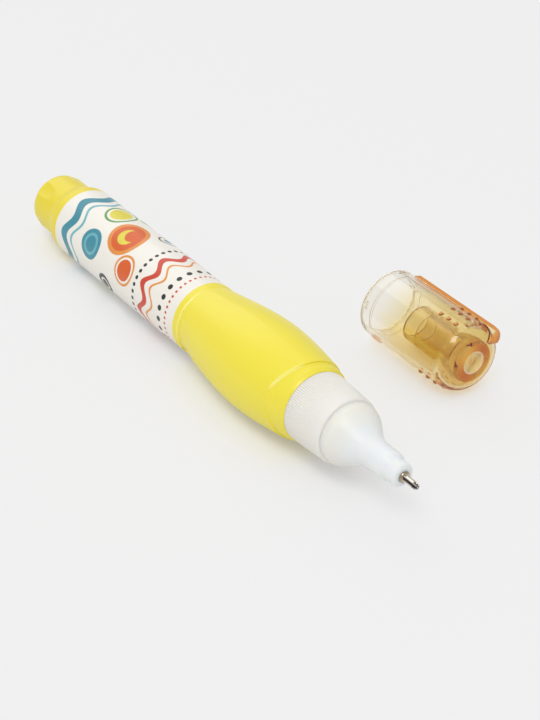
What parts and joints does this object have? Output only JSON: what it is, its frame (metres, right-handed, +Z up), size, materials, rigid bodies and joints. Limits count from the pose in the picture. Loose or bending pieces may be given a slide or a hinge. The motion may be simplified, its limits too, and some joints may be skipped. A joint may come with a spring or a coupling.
{
  "type": "correction pen",
  "caption": "Squeeze correction pen with a bulged bottle, ribbed collar, white nose cone and metal needle-valve tip; its clear cap lies beside it.",
  "frame": {"origin": "on the table, under the middle of the pen and its cap together", "axes": "+X along the pen toward its tip, +Y toward the cap that lies beside it, +Z up; the pen lies on its bulge and on the rear end of its barrel"},
  "size_m": [0.1198, 0.048, 0.0177],
  "materials": {
    "barrel_yellow": "glossy moulded",
    "label_film": "printed film",
    "steel": "ground",
    "collar_white": "satin, fine ribs",
    "gasket_rubber": "soft",
    "nozzle_white": "glossy",
    "tip_steel": "plated",
    "seat_plastic": "moulded",
    "spring_steel": "drawn wire",
    "cap_amber": "clear"
  },
  "bodies": {
    "pen": {"barrel": "barrel_yellow", "wrap_label": "label_film", "ribbed_collar": "collar_white", "neck_gasket": "gasket_rubber", "nozzle_cone": "nozzle_white", "metal_tip": "tip_steel", "spring_seat": "seat_plastic", "valve_spring": "spring_steel"},
    "needle": {"valve_needle": "steel"},
    "ball": {"mixing_ball": "steel"},
    "cap": {"clear_cap": "cap_amber"}
  },
  "joints": [
    {"name": "needle_press", "type": "slide", "parent": "pen", "child": "needle", "axis": [-0.9996, 0, -0.0265], "range_m": [0, 0.00025], "stiffness_N_per_m": 100, "springref_m": -0.0005, "deforming": ["valve_spring"]},
    {"name": "ball_run", "type": "slide", "parent": "pen", "child": "ball", "axis": [0.9996, 0, 0.0265], "range_m": [0, 0.0725]},
    {"name": "cap_pull", "type": "slide", "parent": "pen", "child": "cap", "axis": [0.9999, 0, 0.0125], "range_m": [0, 0.018]}
  ]
}
